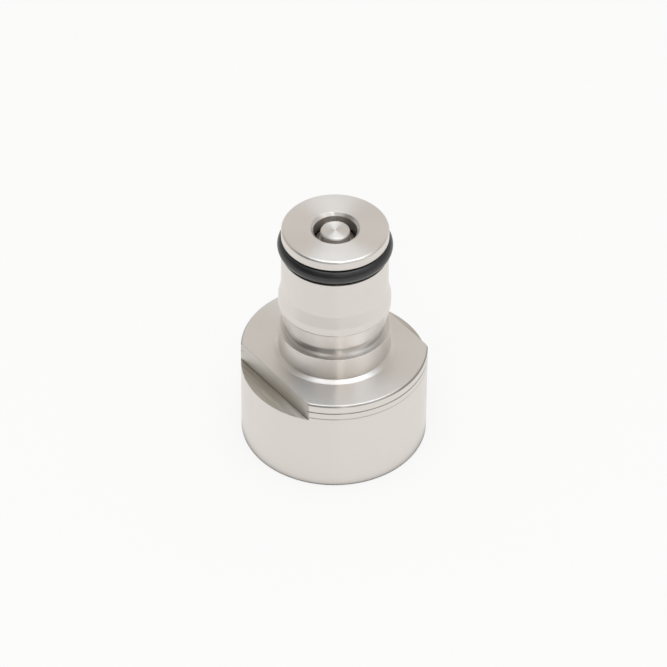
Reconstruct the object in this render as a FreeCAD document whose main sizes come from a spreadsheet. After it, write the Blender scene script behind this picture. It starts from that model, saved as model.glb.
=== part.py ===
import FreeCAD
import Part
import Sketcher
import math
import os

# Ball lock post on a base with a female parallel pipe thread, in millimetres
#
# The post is turned in one piece with its base. A spring-loaded poppet inside it closes the
# throat at the top, and a socket that snaps over the head pushes the poppet's pin down.
# The origin is the centre of the base's underside and +Z runs up the post.

DRIVING_SIZES = [
    ("base_radius", 14.0, "outer radius of the base"),
    ("base_height", 16.05, "underside of the base to its flange face"),
    ("foot_chamfer", 0.25, "chamfer round the foot of the base"),
    ("flange_chamfer", 0.3, "chamfer round the flange face"),
    ("first_mark_drop", 1.5, "flange face down to the first turned line"),
    ("second_mark_drop", 2.6, "flange face down to the second turned line"),
    ("first_mark_depth", 0.1, "radial depth of the first turned line"),
    ("second_mark_depth", 0.05, "radial depth of the second turned line"),
    ("mark_width", 0.2, "height of a turned line at the surface"),
    ("flats_width", 22.2, "size across the two spanner flats"),
    ("flats_height", 3.15, "flange face down to the flats' ledge"),
    ("collar_radius", 8.45, "collar at the root of the post"),
    ("collar_height", 4.25, "flange face to the collar's top edge"),
    ("collar_fillet", 0.6, "concave radius where the collar meets the flange"),
    ("neck_radius", 6.9, "bottom of the locking groove"),
    ("neck_height", 1.5, "collar's top edge to the underside of the head"),
    ("head_foot_radius", 7.7, "underside of the head"),
    ("head_foot_chamfer", 0.12, "edge break under the head"),
    ("lock_taper_height", 2.95, "tapered face that the socket's balls hold"),
    ("head_radius", 8.38, "widest part of the head"),
    ("head_land_height", 1.45, "straight stretch at the head's widest part"),
    ("lead_taper_height", 1.9, "taper from the head up to the barrel"),
    ("barrel_radius", 7.96, "barrel below and above the ring seal"),
    ("barrel_height", 5.95, "lead taper to the seal groove"),
    ("seal_groove_width", 3.12, "height of the seal groove"),
    ("seal_groove_radius", 5.95, "floor of the seal groove"),
    ("top_land_height", 1.53, "seal groove to the top face"),
    ("top_chamfer", 0.3, "chamfer round the top face"),
    ("ring_section", 2.62, "thickness of the ring seal"),
    ("ring_seat_gap", 0.01, "ring seal to the groove's floor"),
    ("thread_major_radius", 11.4555, "root of the female thread, G5/8"),
    ("thread_pitch", 1.8143, "thread pitch, 14 turns to the inch, which sets the crests' radius"),
    ("thread_height", 9.6, "underside of the base to the end of the thread"),
    ("mouth_gap", 0.3, "thread root to the rim of the mouth chamfer"),
    ("relief_height", 1.9, "relief between the thread and the socket's floor"),
    ("relief_gap", 0.2, "thread root to the relief's wall"),
    ("gasket_thickness", 1.6, "flat gasket on the socket's floor"),
    ("gasket_edge_gap", 0.45, "gasket's rim to the relief's wall"),
    ("gasket_hole_radius", 6.3, "hole in the gasket"),
    ("guide_bore_radius", 6.0, "counterbore that holds the spring guide"),
    ("guide_bore_height", 3.0, "socket's floor to the guide's shoulder"),
    ("guide_edge_gap", 0.05, "guide's rim to its counterbore"),
    ("guide_thickness", 1.2, "rim and arms of the spring guide"),
    ("guide_rim_width", 1.3, "radial width of the guide's rim"),
    ("guide_arm_width", 1.6, "width of one arm of the guide"),
    ("guide_arm_count", 3, "arms of the guide"),
    ("guide_hub_radius", 2.5, "hub of the guide"),
    ("guide_boss_height", 1.2, "hub's height above the arms"),
    ("snap_ring_thickness", 0.8, "snap ring under the guide"),
    ("snap_ring_width", 1.35, "radial width of the snap ring"),
    ("snap_groove_depth", 0.6, "depth of the snap ring's groove in the counterbore"),
    ("snap_ring_gap", 0.05, "snap ring to its groove, all round"),
    ("snap_ring_opening", 5.0, "width of the snap ring's opening"),
    ("snap_ear_radius", 1.0, "ears at the ends of the snap ring"),
    ("snap_ear_hole_radius", 0.45, "plier hole in an ear"),
    ("chamber_radius", 4.9, "bore that the spring and seal work in"),
    ("throat_radius", 3.24, "hole through the top face"),
    ("throat_height", 2.3, "top face down to the edge of the seat"),
    ("throat_chamfer", 0.42, "countersink of the throat in the top face"),
    ("seat_height", 1.66, "height of the conical seat under the throat"),
    ("seal_rest_gap", 0.12, "seal to seat along the axis, where rubber would be pressed"),
    ("seal_radius", 4.2, "outside of the poppet seal"),
    ("seal_nose_radius", 3.5, "top of the seal's cone"),
    ("seal_height", 3.4, "seat's edge down to the seal's underside"),
    ("pin_radius", 2.1, "pin that shows in the throat"),
    ("pin_collar_radius", 2.85, "collar at the root of the pin, on top of the seal"),
    ("pin_collar_height", 0.65, "height of that collar"),
    ("pin_drop", 0.37, "top face down to the tip of the pin"),
    ("pin_chamfer", 0.25, "edge break round the pin's tip"),
    ("centre_mark_radius", 0.22, "centre mark in the pin's tip"),
    ("centre_mark_depth", 0.12, "depth of the centre mark"),
    ("seal_land_radius", 1.6, "stem inside the seal and the washer"),
    ("rod_radius", 1.25, "stem inside the spring and the guide"),
    ("rod_step_drop", 0.4, "washer's underside down to the step in the stem"),
    ("rod_running_gap", 0.05, "stem to the guide's hole, and to the washer's"),
    ("rod_end_length", 0.7, "stem below its clip"),
    ("rod_end_chamfer", 0.2, "edge break at the stem's lower end"),
    ("washer_thickness", 0.6, "washer between the seal and the spring"),
    ("washer_radius", 4.2, "outside of that washer"),
    ("clip_thickness", 0.4, "clip under the guide"),
    ("clip_radius", 2.3, "outside of the clip"),
    ("clip_groove_depth", 0.35, "depth of the clip's groove in the stem"),
    ("clip_gap", 0.03, "clip to its groove, all round"),
    ("clip_opening", 1.5, "width of the clip's mouth"),
    ("clip_notch_radius", 0.4, "relief notches inside the clip"),
    ("clip_rest_gap", 0.25, "guide's underside down to the clip"),
    ("spring_wire", 0.7, "wire of the poppet spring"),
    ("spring_mean_radius", 3.85, "axis to the centre of the wire"),
    ("spring_active_turns", 8, "open turns"),
    ("spring_end_pitch", 0.72, "rise of one closed end turn"),
    ("spring_grind", 0.2, "wire ground off each end"),
    ("spring_top_gap", 0.05, "washer's underside down to the spring"),
]

# Depth of the 55 degree thread form, as a share of the pitch
THREAD_DEPTH_SHARE = 0.640327

# How far a cutting tool stands clear of the metal that it doesn't cut
TOOL_CLEARANCE = 1.0
SHEET_NAME = "Sizes"


class Length:
    """A size as a number and as the sheet formula that gives the number."""

    def __init__(self, value, formula):
        self.value = value
        self.formula = formula

    def _with(self, other, sign, value, swapped=False):
        first, second = self.formula, as_length(other).formula
        if swapped:
            first, second = second, first
        return Length(value, f"({first} {sign} {second})")

    def __add__(self, other):
        return self._with(other, "+", self.value + as_length(other).value)

    def __sub__(self, other):
        return self._with(other, "-", self.value - as_length(other).value)

    def __rsub__(self, other):
        return self._with(other, "-", as_length(other).value - self.value, swapped=True)

    def __mul__(self, other):
        return self._with(other, "*", self.value * as_length(other).value)

    def __truediv__(self, other):
        return self._with(other, "/", self.value / as_length(other).value)

    def __neg__(self):
        return Length(-self.value, f"(0 - {self.formula})")

    __radd__ = __add__
    __rmul__ = __mul__


def as_length(size):
    if isinstance(size, Length):
        return size
    return Length(size, repr(size))


def square(size):
    return size * size


def root(size):
    return Length(math.sqrt(size.value), f"sqrt({size.formula})")


class Hollow:
    """Marks the edge that leads to the next corner as an arc of this radius, hollowed into the metal."""

    def __init__(self, radius):
        self.radius = radius


class Sizes:
    """The driving sizes, each a Length under its own name."""


def make_sheet(doc):
    sheet = doc.addObject("Spreadsheet::Sheet", SHEET_NAME)
    sizes = Sizes()
    for row, (alias, value, meaning) in enumerate(DRIVING_SIZES, start=1):
        sheet.set(f"A{row}", meaning)
        sheet.set(f"B{row}", str(value))
        sheet.setAlias(f"B{row}", alias)
        setattr(sizes, alias, Length(value, f"{SHEET_NAME}.{alias}"))
    doc.recompute()
    return sizes


def origin_feature(body, role):
    for feature in body.Origin.OriginFeatures:
        if feature.Role == role:
            return feature
    raise RuntimeError(f"{body.Label} has no {role}")


def new_body(doc, name, height=None):
    body = doc.addObject("PartDesign::Body", name)
    body.Label = name
    if height is not None:
        body.setExpression("Placement.Base.z", as_length(height).formula)
    return body


def new_sketch(body, name, plane, offset=None):
    sketch = body.newObject("Sketcher::SketchObject", f"{body.Name}_{name}")
    sketch.AttachmentSupport = [(origin_feature(body, plane), "")]
    sketch.MapMode = "FlatFace"
    if offset is not None:
        sketch.setExpression("AttachmentOffset.Base.z", as_length(offset).formula)
    return sketch


def bind(sketch, index, size):
    sketch.setExpression(f"Constraints[{index}]", size.formula)


def place_corner(sketch, edge, end, x, y):
    """Ties one end of an edge to its distances from the sketch's origin."""
    for kind, size, axis in (("DistanceX", x, -2), ("DistanceY", y, -1)):
        if not isinstance(size, Length) and size == 0:
            sketch.addConstraint(Sketcher.Constraint("PointOnObject", edge, end, axis))
        elif size.value >= 0:
            made = Sketcher.Constraint(kind, -1, 1, edge, end, size.value)
            bind(sketch, sketch.addConstraint(made), size)
        else:
            made = Sketcher.Constraint(kind, edge, end, -1, 1, -size.value)
            bind(sketch, sketch.addConstraint(made), -size)


def hollow_arc(start, end, radius):
    """The arc from end back to start, counter-clockwise, that cuts in to the left of start to end."""
    chord = end - start
    left = FreeCAD.Vector(-chord.y, chord.x, 0).normalize()
    offset = math.sqrt(max(radius ** 2 - (chord.Length / 2) ** 2, 0))
    centre = start + chord * 0.5 - left * offset
    first = math.atan2(end.y - centre.y, end.x - centre.x)
    last = math.atan2(start.y - centre.y, start.x - centre.x)
    if last < first:
        last += 2 * math.pi
    return Part.ArcOfCircle(Part.Circle(centre, FreeCAD.Vector(0, 0, 1), radius), first, last)


def draw_outline(sketch, corners):
    """Draws a closed outline, counter-clockwise, with a Hollow between two corners where it is round."""
    points = [c for c in corners if not isinstance(c, Hollow)]
    hollows = {}
    for index, corner in enumerate(corners):
        if isinstance(corner, Hollow):
            hollows[index - 1 - len(hollows)] = corner
    spots = [FreeCAD.Vector(as_length(x).value, as_length(y).value, 0) for x, y in points]
    edges = []
    for index, spot in enumerate(spots):
        after = spots[(index + 1) % len(spots)]
        hollow = hollows.get(index)
        if hollow is None:
            edges.append((sketch.addGeometry(Part.LineSegment(spot, after)), 1, 2))
            continue
        radius = hollow.radius
        edge = sketch.addGeometry(hollow_arc(spot, after, radius.value))
        edges.append((edge, 2, 1))
        made = Sketcher.Constraint("Radius", edge, radius.value)
        bind(sketch, sketch.addConstraint(made), radius)
    for index, (edge, first, last) in enumerate(edges):
        following, its_first, _ = edges[(index + 1) % len(edges)]
        sketch.addConstraint(Sketcher.Constraint("Coincident", edge, last, following, its_first))
        place_corner(sketch, edge, first, *points[index])


def draw_circle(sketch, radius, x=0, y=0):
    radius = as_length(radius)
    spot = FreeCAD.Vector(as_length(x).value, as_length(y).value, 0)
    circle = Part.Circle(spot, FreeCAD.Vector(0, 0, 1), radius.value)
    edge = sketch.addGeometry(circle)
    place_corner(sketch, edge, 3, x, y)
    made = Sketcher.Constraint("Radius", edge, radius.value)
    bind(sketch, sketch.addConstraint(made), radius)


def add_feature(body, kind, name, sketch, **bound):
    feature = body.newObject(f"PartDesign::{kind}", f"{body.Name}_{name}")
    feature.Profile = sketch
    for property_name, size in bound.items():
        feature.setExpression(property_name, as_length(size).formula)
    body.Tip = feature
    return feature


def turn(body, name, corners):
    """A body of revolution about Z, from an outline of radius and height."""
    sketch = new_sketch(body, f"{name}_outline", "XZ_Plane")
    draw_outline(sketch, corners)
    feature = add_feature(body, "Revolution", name, sketch)
    feature.ReferenceAxis = (sketch, ["V_Axis"])
    return feature


def bore_out(doc, body, name, corners):
    """Turns the outline away from the body."""
    before = measured_volume(doc, body)
    sketch = new_sketch(body, f"{name}_outline", "XZ_Plane")
    draw_outline(sketch, corners)
    feature = add_feature(body, "Groove", name, sketch)
    feature.ReferenceAxis = (sketch, ["V_Axis"])
    must_have_cut(doc, body, name, before)
    return feature


def pad(body, name, length, draw, offset=None):
    sketch = new_sketch(body, f"{name}_outline", "XY_Plane", offset)
    draw(sketch)
    return add_feature(body, "Pad", name, sketch, Length=length)


def pocket_down(doc, body, name, top, depth, draw):
    """Cuts what draw outlines, from the height top down by depth."""
    before = measured_volume(doc, body)
    sketch = new_sketch(body, f"{name}_outline", "XY_Plane", top)
    draw(sketch)
    feature = add_feature(body, "Pocket", name, sketch, Length=depth)
    must_have_cut(doc, body, name, before)
    return feature


def repeat_round(body, name, original, count):
    """Repeats a feature evenly round the body's Z axis."""
    pattern = body.newObject("PartDesign::PolarPattern", f"{body.Name}_{name}")
    pattern.Originals = [original]
    pattern.Axis = (origin_feature(body, "Z_Axis"), [""])
    pattern.Angle = 360
    pattern.setExpression("Occurrences", as_length(count).formula)
    body.Tip = pattern
    return pattern


def add_helix(body, name, offset, pitch, height, draw):
    """Carries an outline in the XZ plane round Z on a helix."""
    sketch = new_sketch(body, f"{name}_outline", "XZ_Plane")
    draw(sketch, offset)
    helix = body.newObject("PartDesign::AdditiveHelix", f"{body.Name}_{name}")
    helix.Profile = sketch
    helix.ReferenceAxis = (sketch, ["V_Axis"])
    helix.Mode = "pitch-height-angle"
    helix.setExpression("Pitch", as_length(pitch).formula)
    helix.setExpression("Height", as_length(height).formula)
    body.Tip = helix
    return helix


def measured_volume(doc, body):
    doc.recompute()
    return body.Shape.Volume


def must_have_cut(doc, body, name, before):
    if measured_volume(doc, body) >= before:
        raise RuntimeError(f"{name} cuts nothing from {body.Label}")


class Levels:
    """Heights in the assembly that more than one piece needs."""

    def __init__(self, s):
        self.collar_top = s.base_height + s.collar_height
        self.head_foot = self.collar_top + s.neck_height
        self.lock_taper_top = self.head_foot + s.lock_taper_height
        self.head_land_top = self.lock_taper_top + s.head_land_height
        self.barrel_foot = self.head_land_top + s.lead_taper_height
        self.groove_foot = self.barrel_foot + s.barrel_height
        self.groove_top = self.groove_foot + s.seal_groove_width
        self.top = self.groove_top + s.top_land_height
        self.socket_floor = s.thread_height + s.relief_height
        self.guide_shoulder = self.socket_floor + s.guide_bore_height
        self.guide_foot = self.guide_shoulder - s.guide_thickness
        self.seat_edge = self.top - s.throat_height
        self.seat_foot = self.seat_edge - s.seat_height
        self.seat_slope = s.seat_height / (s.chamber_radius - s.throat_radius)
        self.seal_foot = self.seat_edge - s.seal_height
        self.seal_top = self.under_seat(s, s.seal_nose_radius)
        self.washer_foot = self.seal_foot - s.washer_thickness
        self.clip_top = self.guide_foot - s.clip_rest_gap
        self.clip_foot = self.clip_top - s.clip_thickness
        self.stem_foot = self.clip_foot - s.rod_end_length

    def under_seat(self, s, radius):
        """Height of the seal's cone at a radius, which keeps the rest gap under the seat."""
        return self.seat_edge - s.seal_rest_gap - (radius - s.throat_radius) * self.seat_slope


def make_post_body(doc, s, at):
    """The turned post and base, with its seal groove, bore and spanner flats.

    The thread's stretch of the socket is bored to the radius of the thread's crests.
    """
    body = new_body(doc, "post_body")
    flange = s.base_height

    def mark(drop, depth):
        middle = flange - drop
        half = s.mark_width / 2
        return [
            (s.base_radius, middle - half),
            (s.base_radius - depth, middle),
            (s.base_radius, middle + half),
        ]

    inward = s.collar_radius - s.neck_radius
    groove_arc = (square(inward) + square(s.neck_height)) / (2 * inward)
    turn(body, "form", [
        (0, 0),
        (s.base_radius - s.foot_chamfer, 0),
        (s.base_radius, s.foot_chamfer),
        *mark(s.second_mark_drop, s.second_mark_depth),
        *mark(s.first_mark_drop, s.first_mark_depth),
        (s.base_radius, flange - s.flange_chamfer),
        (s.base_radius - s.flange_chamfer, flange),
        (s.collar_radius + s.collar_fillet, flange),
        Hollow(s.collar_fillet),
        (s.collar_radius, flange + s.collar_fillet),
        (s.collar_radius, at.collar_top),
        Hollow(groove_arc),
        (s.neck_radius, at.head_foot),
        (s.head_foot_radius - s.head_foot_chamfer, at.head_foot),
        (s.head_foot_radius, at.head_foot + s.head_foot_chamfer),
        (s.head_radius, at.lock_taper_top),
        (s.head_radius, at.head_land_top),
        (s.barrel_radius, at.barrel_foot),
        (s.barrel_radius, at.top - s.top_chamfer),
        (s.barrel_radius - s.top_chamfer, at.top),
        (0, at.top),
    ])
    outside = s.barrel_radius + TOOL_CLEARANCE
    bore_out(doc, body, "seal_groove", [
        (s.seal_groove_radius, at.groove_foot),
        (outside, at.groove_foot),
        (outside, at.groove_top),
        (s.seal_groove_radius, at.groove_top),
    ])
    crest = s.thread_major_radius - s.thread_pitch * THREAD_DEPTH_SHARE
    mouth = s.thread_major_radius + s.mouth_gap
    relief = s.thread_major_radius + s.relief_gap
    snap_groove = s.guide_bore_radius + s.snap_groove_depth
    snap_foot = at.guide_foot - s.snap_ring_thickness - s.snap_ring_gap
    snap_top = at.guide_foot + s.snap_ring_gap
    bore_out(doc, body, "bore", [
        (0, 0),
        (mouth, 0),
        (crest, mouth - crest),
        (crest, s.thread_height),
        (relief, s.thread_height),
        (relief, at.socket_floor),
        (s.guide_bore_radius, at.socket_floor),
        (s.guide_bore_radius, snap_foot),
        (snap_groove, snap_foot),
        (snap_groove, snap_top),
        (s.guide_bore_radius, snap_top),
        (s.guide_bore_radius, at.guide_shoulder),
        (s.chamber_radius, at.guide_shoulder),
        (s.chamber_radius, at.seat_foot),
        (s.throat_radius, at.seat_edge),
        (s.throat_radius, at.top - s.throat_chamfer),
        (s.throat_radius + s.throat_chamfer, at.top),
        (0, at.top),
    ])

    def flat_outline(sketch):
        near = s.flats_width / 2
        far = s.base_radius + TOOL_CLEARANCE
        draw_outline(sketch, [(-far, near), (far, near), (far, far), (-far, far)])

    flat = pocket_down(doc, body, "flat", flange, s.flats_height, flat_outline)
    repeat_round(body, "flats", flat, 2)
    return body


def make_post_o_ring(doc, s, at):
    """The ring seal that a socket slides over."""
    ring = doc.addObject("Part::Torus", "post_o_ring")
    ring.Label = "post_o_ring"
    half = s.ring_section / 2
    ring.setExpression("Radius1", (s.seal_groove_radius + s.ring_seat_gap + half).formula)
    ring.setExpression("Radius2", half.formula)
    middle = (at.groove_foot + at.groove_top) / 2
    ring.setExpression("Placement.Base.z", middle.formula)
    return ring


def make_poppet_stem(doc, s, at):
    """The pin, its collar, the seal's land and a long rod, turned in one piece from its lower end up."""
    body = new_body(doc, "poppet_stem", at.stem_foot)
    groove_foot = s.rod_end_length - s.clip_gap
    groove_top = s.rod_end_length + s.clip_thickness + s.clip_gap
    groove_radius = s.rod_radius - s.clip_groove_depth
    step = at.washer_foot - s.rod_step_drop - at.stem_foot
    collar = at.seal_top - at.stem_foot
    tip = at.top - s.pin_drop - at.stem_foot
    turn(body, "form", [
        (0, 0),
        (s.rod_radius - s.rod_end_chamfer, 0),
        (s.rod_radius, s.rod_end_chamfer),
        (s.rod_radius, groove_foot),
        (groove_radius, groove_foot),
        (groove_radius, groove_top),
        (s.rod_radius, groove_top),
        (s.rod_radius, step),
        (s.seal_land_radius, step),
        (s.seal_land_radius, collar),
        (s.pin_collar_radius, collar),
        (s.pin_collar_radius, collar + s.pin_collar_height),
        (s.pin_radius, collar + s.pin_collar_height),
        (s.pin_radius, tip - s.pin_chamfer),
        (s.pin_radius - s.pin_chamfer, tip),
        (s.centre_mark_radius, tip),
        (0, tip - s.centre_mark_depth),
    ])
    return body


def make_poppet_seal(doc, s, at):
    """The rubber cone that closes the throat, held on the stem between its collar and a washer."""
    body = new_body(doc, "poppet_seal", at.seal_foot)
    turn(body, "form", [
        (s.seal_land_radius, 0),
        (s.seal_radius, 0),
        (s.seal_radius, at.under_seat(s, s.seal_radius) - at.seal_foot),
        (s.seal_nose_radius, at.seal_top - at.seal_foot),
        (s.seal_land_radius, at.seal_top - at.seal_foot),
    ])
    return body


def make_seal_washer(doc, s, at):
    """The flat washer that spreads the spring's push under the seal."""
    body = new_body(doc, "seal_washer", at.washer_foot)

    def outline(sketch):
        draw_circle(sketch, s.washer_radius)
        draw_circle(sketch, s.seal_land_radius + s.rod_running_gap)

    pad(body, "form", s.washer_thickness, outline)
    return body


def make_poppet_spring(doc, s, at):
    """The coil spring with closed and ground ends, from the guide up to the washer."""
    body = new_body(doc, "poppet_spring", at.guide_shoulder)
    total = at.washer_foot - s.spring_top_gap - at.guide_shoulder
    first = s.spring_wire / 2 - s.spring_grind
    open_foot = first + s.spring_end_pitch
    open_height = total - 2 * open_foot
    open_pitch = open_height / s.spring_active_turns

    def wire(sketch, height):
        draw_circle(sketch, s.spring_wire / 2, s.spring_mean_radius, height)

    stretches = [
        ("lower_turn", first, s.spring_end_pitch, s.spring_end_pitch),
        ("open_turns", open_foot, open_pitch, open_height),
        ("upper_turn", open_foot + open_height, s.spring_end_pitch, s.spring_end_pitch),
    ]
    for name, foot, pitch, height in stretches:
        add_helix(body, name, foot, pitch, height, wire)
        doc.recompute()

    def beyond(sketch):
        draw_circle(sketch, s.spring_mean_radius + s.spring_wire)

    pocket_down(doc, body, "lower_grind", Length(0, "0"), s.spring_wire, beyond)
    pocket_down(doc, body, "upper_grind", total + s.spring_wire, s.spring_wire, beyond)
    return body


def make_spring_guide(doc, s, at):
    """The wheel that centres the stem and carries the spring, open between its arms."""
    body = new_body(doc, "spring_guide", at.guide_foot)
    rim = s.guide_bore_radius - s.guide_edge_gap
    rim_inner = rim - s.guide_rim_width

    def rim_outline(sketch):
        draw_circle(sketch, rim)
        draw_circle(sketch, rim_inner)

    def arm_outline(sketch):
        half = s.guide_arm_width / 2
        near = s.guide_hub_radius / 2
        far = rim_inner + s.guide_rim_width / 2
        draw_outline(sketch, [(near, -half), (far, -half), (far, half), (near, half)])

    pad(body, "rim", s.guide_thickness, rim_outline)
    arm = pad(body, "arm", s.guide_thickness, arm_outline)
    repeat_round(body, "arms", arm, s.guide_arm_count)
    pad(body, "hub", s.guide_thickness + s.guide_boss_height,
        lambda sketch: draw_circle(sketch, s.guide_hub_radius))
    pocket_down(doc, body, "stem_hole", s.guide_thickness + s.guide_boss_height,
                s.guide_thickness + s.guide_boss_height,
                lambda sketch: draw_circle(sketch, s.rod_radius + s.rod_running_gap))
    return body


def make_guide_snap_ring(doc, s, at):
    """The sprung ring in the counterbore's groove that holds the guide up."""
    body = new_body(doc, "guide_snap_ring", at.guide_foot - s.snap_ring_thickness)
    outer = s.guide_bore_radius + s.snap_groove_depth - s.snap_ring_gap
    inner = outer - s.snap_ring_width
    ear_x = s.snap_ring_opening / 2 + s.snap_ear_radius
    ear_y = root(square(outer - s.snap_ear_radius) - square(ear_x))

    def ring_outline(sketch):
        draw_circle(sketch, outer)
        draw_circle(sketch, inner)

    def opening_outline(sketch):
        half = s.snap_ring_opening / 2
        far = outer + TOOL_CLEARANCE
        draw_outline(sketch, [(-half, 0), (half, 0), (half, far), (-half, far)])

    pad(body, "ring", s.snap_ring_thickness, ring_outline)
    pocket_down(doc, body, "opening", s.snap_ring_thickness, s.snap_ring_thickness, opening_outline)
    for side, x in (("left", -ear_x), ("right", ear_x)):
        pad(body, f"{side}_ear", s.snap_ring_thickness,
            lambda sketch: draw_circle(sketch, s.snap_ear_radius, x, ear_y))
        pocket_down(doc, body, f"{side}_hole", s.snap_ring_thickness, s.snap_ring_thickness,
                    lambda sketch: draw_circle(sketch, s.snap_ear_hole_radius, x, ear_y))
    return body


def make_stem_clip(doc, s, at):
    """The open clip that snaps into the stem's groove under the guide."""
    body = new_body(doc, "stem_clip", at.clip_foot)
    inner = s.rod_radius - s.clip_groove_depth + s.clip_gap

    def ring_outline(sketch):
        draw_circle(sketch, s.clip_radius)
        draw_circle(sketch, inner)

    def mouth_outline(sketch):
        half = s.clip_opening / 2
        far = s.clip_radius + TOOL_CLEARANCE
        draw_outline(sketch, [(0, -half), (far, -half), (far, half), (0, half)])

    def notch_outline(sketch):
        draw_circle(sketch, s.clip_notch_radius, -inner, 0)

    pad(body, "ring", s.clip_thickness, ring_outline)
    notch = pocket_down(doc, body, "notch", s.clip_thickness, s.clip_thickness, notch_outline)
    repeat_round(body, "notches", notch, 3)
    pocket_down(doc, body, "mouth", s.clip_thickness, s.clip_thickness, mouth_outline)
    return body


def make_thread_gasket(doc, s, at):
    """The flat gasket that a male thread's end is screwed up against."""
    body = new_body(doc, "thread_gasket", at.socket_floor - s.gasket_thickness)

    def outline(sketch):
        draw_circle(sketch, s.thread_major_radius + s.relief_gap - s.gasket_edge_gap)
        draw_circle(sketch, s.gasket_hole_radius)

    pad(body, "form", s.gasket_thickness, outline)
    return body


MAKERS = [
    make_post_body,
    make_post_o_ring,
    make_poppet_stem,
    make_poppet_seal,
    make_seal_washer,
    make_poppet_spring,
    make_spring_guide,
    make_guide_snap_ring,
    make_stem_clip,
    make_thread_gasket,
]


def check(doc, pieces):
    for thing in doc.Objects:
        if "Invalid" in thing.State or "Error" in thing.State:
            raise RuntimeError(f"{thing.Label} failed: {thing.State}")
    for piece in pieces:
        if piece.Shape.isNull() or not piece.Shape.isValid() or not piece.Shape.Solids:
            raise RuntimeError(f"{piece.Label} is not a valid solid")


def main():
    doc = FreeCAD.newDocument("ball_lock_post")
    sizes = make_sheet(doc)
    levels = Levels(sizes)
    pieces = [make(doc, sizes, levels) for make in MAKERS]
    doc.recompute()
    check(doc, pieces)
    os.makedirs("parts", exist_ok=True)
    for piece in pieces:
        piece.Shape.exportStep(f"parts/{piece.Label}.step")
        box = piece.Shape.BoundBox
        print(f"{piece.Label}: {len(piece.Shape.Solids)} solid, {piece.Shape.Volume:.2f} mm3, "
              f"z {box.ZMin:.2f} to {box.ZMax:.2f}, width {box.XLength:.2f} by {box.YLength:.2f}")


main()
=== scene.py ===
# %% [markdown]
# # A ball lock post, piece by piece
# The object is a small stainless fitting. A hollow post and its threaded base are turned from one bar,
# a black ring seal sits near the top, and a sprung poppet inside closes the hole in the top face.
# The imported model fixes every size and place. This lesson loads it first and builds around it.

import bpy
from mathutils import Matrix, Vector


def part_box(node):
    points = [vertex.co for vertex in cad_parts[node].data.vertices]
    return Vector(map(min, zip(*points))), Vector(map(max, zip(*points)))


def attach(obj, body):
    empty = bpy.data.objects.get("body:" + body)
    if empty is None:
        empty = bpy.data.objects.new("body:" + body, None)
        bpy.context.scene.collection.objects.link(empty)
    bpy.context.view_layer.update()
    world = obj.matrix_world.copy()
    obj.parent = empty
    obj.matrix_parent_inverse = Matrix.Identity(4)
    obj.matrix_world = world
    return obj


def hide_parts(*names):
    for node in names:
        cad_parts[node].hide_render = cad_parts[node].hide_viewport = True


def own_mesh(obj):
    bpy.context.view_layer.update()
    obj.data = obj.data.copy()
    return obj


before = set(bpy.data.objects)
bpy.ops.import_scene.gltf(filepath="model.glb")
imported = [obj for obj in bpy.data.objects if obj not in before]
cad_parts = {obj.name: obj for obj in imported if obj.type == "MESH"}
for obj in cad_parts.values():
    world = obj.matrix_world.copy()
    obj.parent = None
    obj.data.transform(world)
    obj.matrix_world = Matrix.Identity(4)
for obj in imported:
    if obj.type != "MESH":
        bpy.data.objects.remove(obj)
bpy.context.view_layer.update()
print("pieces in the packed model:", ", ".join(sorted(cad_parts)))

# %% Other modules that the lesson needs
import math

import bpy
import numpy as np
from mathutils import Quaternion, Vector

# %% [markdown]
# ## Sizes
# Lengths are written in millimetres, as on a workshop drawing, and are made metres only when a mesh is
# filled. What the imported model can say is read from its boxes. The rest are the drawing's own sizes,
# such as the head's taper, which no box shows.

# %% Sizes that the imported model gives
MM = 0.001


def box_mm(node):
    """The lowest and highest corner of a piece, in millimetres."""
    low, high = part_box(node)
    return np.array(low) / MM, np.array(high) / MM


BASE_RADIUS = box_mm("post_body")[1][0]
POST_TOP = box_mm("post_body")[1][2]
RING_LOW, RING_HIGH = box_mm("post_o_ring")
STEM_LOW, STEM_HIGH = box_mm("poppet_stem")
SEAL_LOW, SEAL_HIGH = box_mm("poppet_seal")
WASHER_LOW, WASHER_HIGH = box_mm("seal_washer")
SPRING_LOW, SPRING_HIGH = box_mm("poppet_spring")
GASKET_LOW, GASKET_HIGH = box_mm("thread_gasket")
print(f"base {2 * BASE_RADIUS:.2f} mm across, post {POST_TOP:.2f} mm high")

# %% [markdown]
# ## Surfaces
# Nearly every piece here is turned, so it is a profile carried round the Z axis: a grid with one row for
# each point of the profile and one column for each step round. A spring is the same kind of grid, with
# the section of its wire carried along a coil. Modelling such a grid by hand or with Spin would do, but a
# formula on whole arrays keeps each size in view.

# %% Put a grid of points into a mesh
SHARP_EDGE = math.radians(32)


def skin(name, rings, ends=None):
    """A closed piece from rings of points, an array of rows, columns and x, y, z in millimetres.

    Each ring joins up with itself and with the next one. The last ring joins the first, or, where ends
    gives two points, a fan of triangles closes each end.
    """
    rows, columns = rings.shape[:2]
    row = np.arange(rows if ends is None else rows - 1)[:, None]
    column = np.arange(columns)[None, :]
    below, above = row * columns, (row + 1) % rows * columns
    after = (column + 1) % columns
    quads = np.stack([below + column, below + after, above + after, above + column], axis=-1)
    faces = quads.reshape(-1, 4).tolist()
    points = rings.reshape(-1, 3)
    if ends is not None:
        first, last = len(points), len(points) + 1
        edge, beside = column[0], after[0]
        top = (rows - 1) * columns
        points = np.vstack([points, ends])
        faces += np.stack([np.full(columns, first), beside, edge], axis=-1).tolist()
        faces += np.stack([np.full(columns, last), top + edge, top + beside], axis=-1).tolist()
    mesh = bpy.data.meshes.new(name)
    mesh.from_pydata((points * MM).tolist(), [], faces)
    mesh.shade_smooth()
    mesh.set_sharp_from_angle(angle=SHARP_EDGE)
    piece = bpy.data.objects.new(name, mesh)
    bpy.context.scene.collection.objects.link(piece)
    triangles = sum(len(face) - 2 for face in faces)
    print(f"{name}: {rows} rows by {columns} columns, {triangles} triangles")
    return piece


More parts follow.
